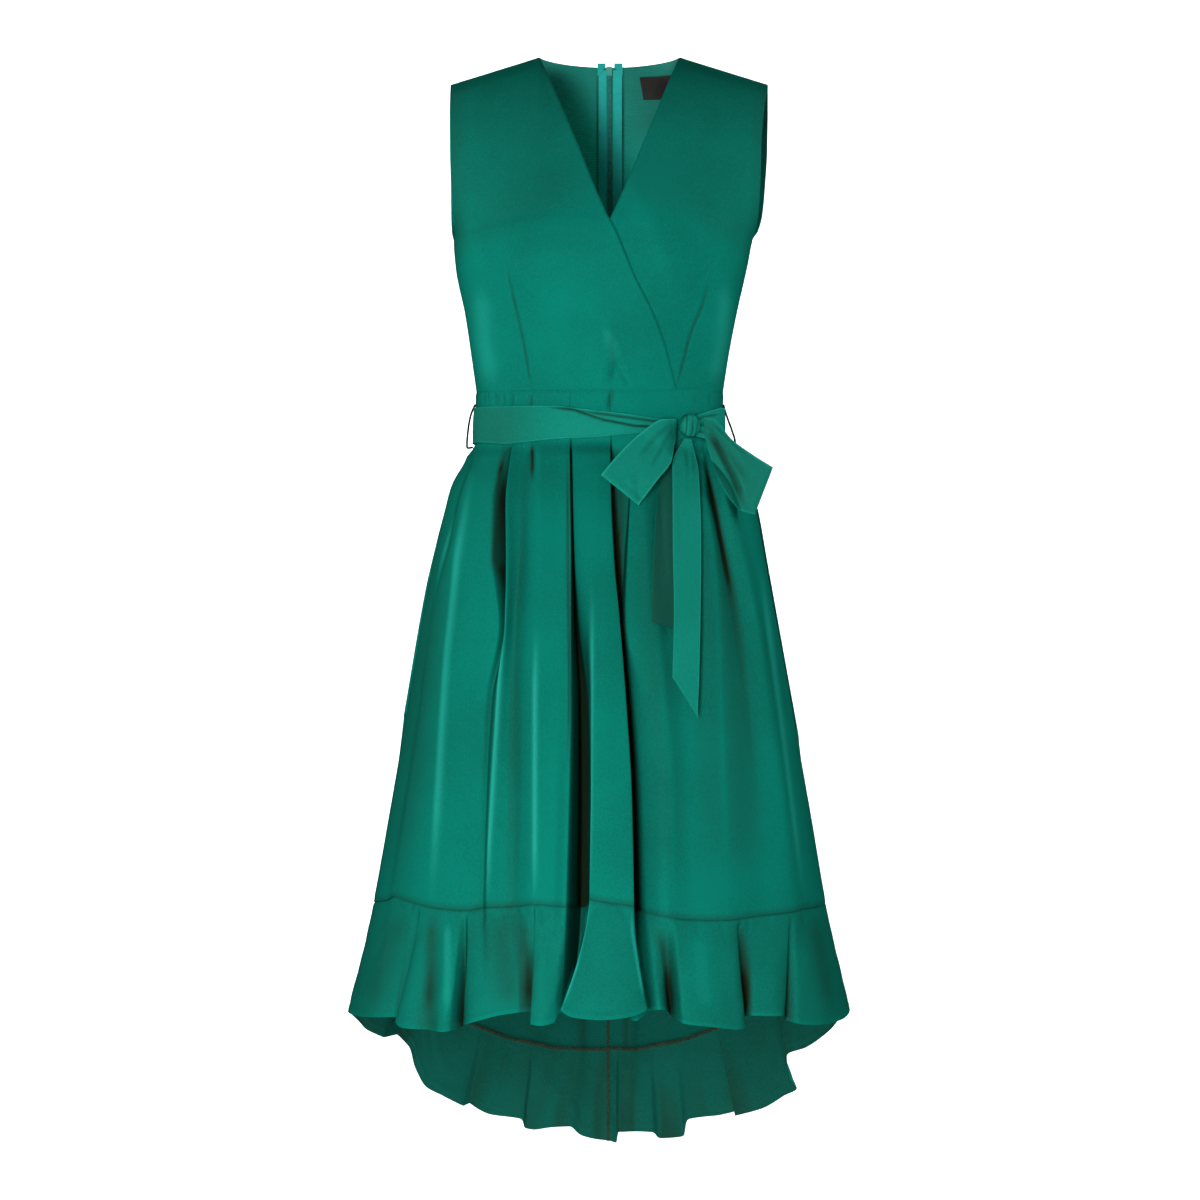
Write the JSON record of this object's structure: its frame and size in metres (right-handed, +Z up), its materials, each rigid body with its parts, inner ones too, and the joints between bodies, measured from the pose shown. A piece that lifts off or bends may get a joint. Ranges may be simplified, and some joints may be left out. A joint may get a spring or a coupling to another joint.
{
  "type": "wrap dress",
  "caption": "Sleeveless satin wrap-front dress, hollow as worn, with V neck, tied sash with bow, pleated skirt and flounce on a hem that dips behind.",
  "frame": {"origin": "midway between the two neck points, where the neckline meets the shoulder seams and the wearer holds the dress up", "axes": "+Z up, front towards -Y, the wearer's left towards +X"},
  "size_m": [0.5592, 0.5377, 1.238],
  "materials": {
    "satin": "satin weave, soft sheen outside and matte inside",
    "thread": "twisted thread",
    "zip_tape": "woven tape, matte",
    "zip_coil": "nylon coil",
    "zip_metal": "lacquered",
    "label": "woven, plain"
  },
  "bodies": {
    "dress": {"bodice_front_right": "satin", "bodice_front_left": "satin", "bodice_back_right": "satin", "bodice_back_left": "satin", "skirt_front": "satin", "skirt_back_right": "satin", "skirt_back_left": "satin", "flounce_front": "satin", "flounce_back_right": "satin", "flounce_back_left": "satin", "sash_band": "satin", "bow_knot": "satin", "bow_loop_right": "satin", "bow_loop_left": "satin", "tail_front": "satin", "tail_back": "satin", "belt_loop_right": "thread", "belt_loop_left": "thread", "zip_tape_right": "zip_tape", "zip_tape_left": "zip_tape", "zip_coil": "zip_coil", "zip_slider": "zip_metal", "neck_label": "label"},
    "zip_pull": {"zip_pull": "zip_metal"}
  },
  "joints": [
    {"name": "zip_pull_swing", "type": "hinge", "parent": "dress", "child": "zip_pull", "pos_m": [0, 0.0645, -0.0068], "axis": [1, 0, 0], "range_deg": [0, 150]}
  ]
}
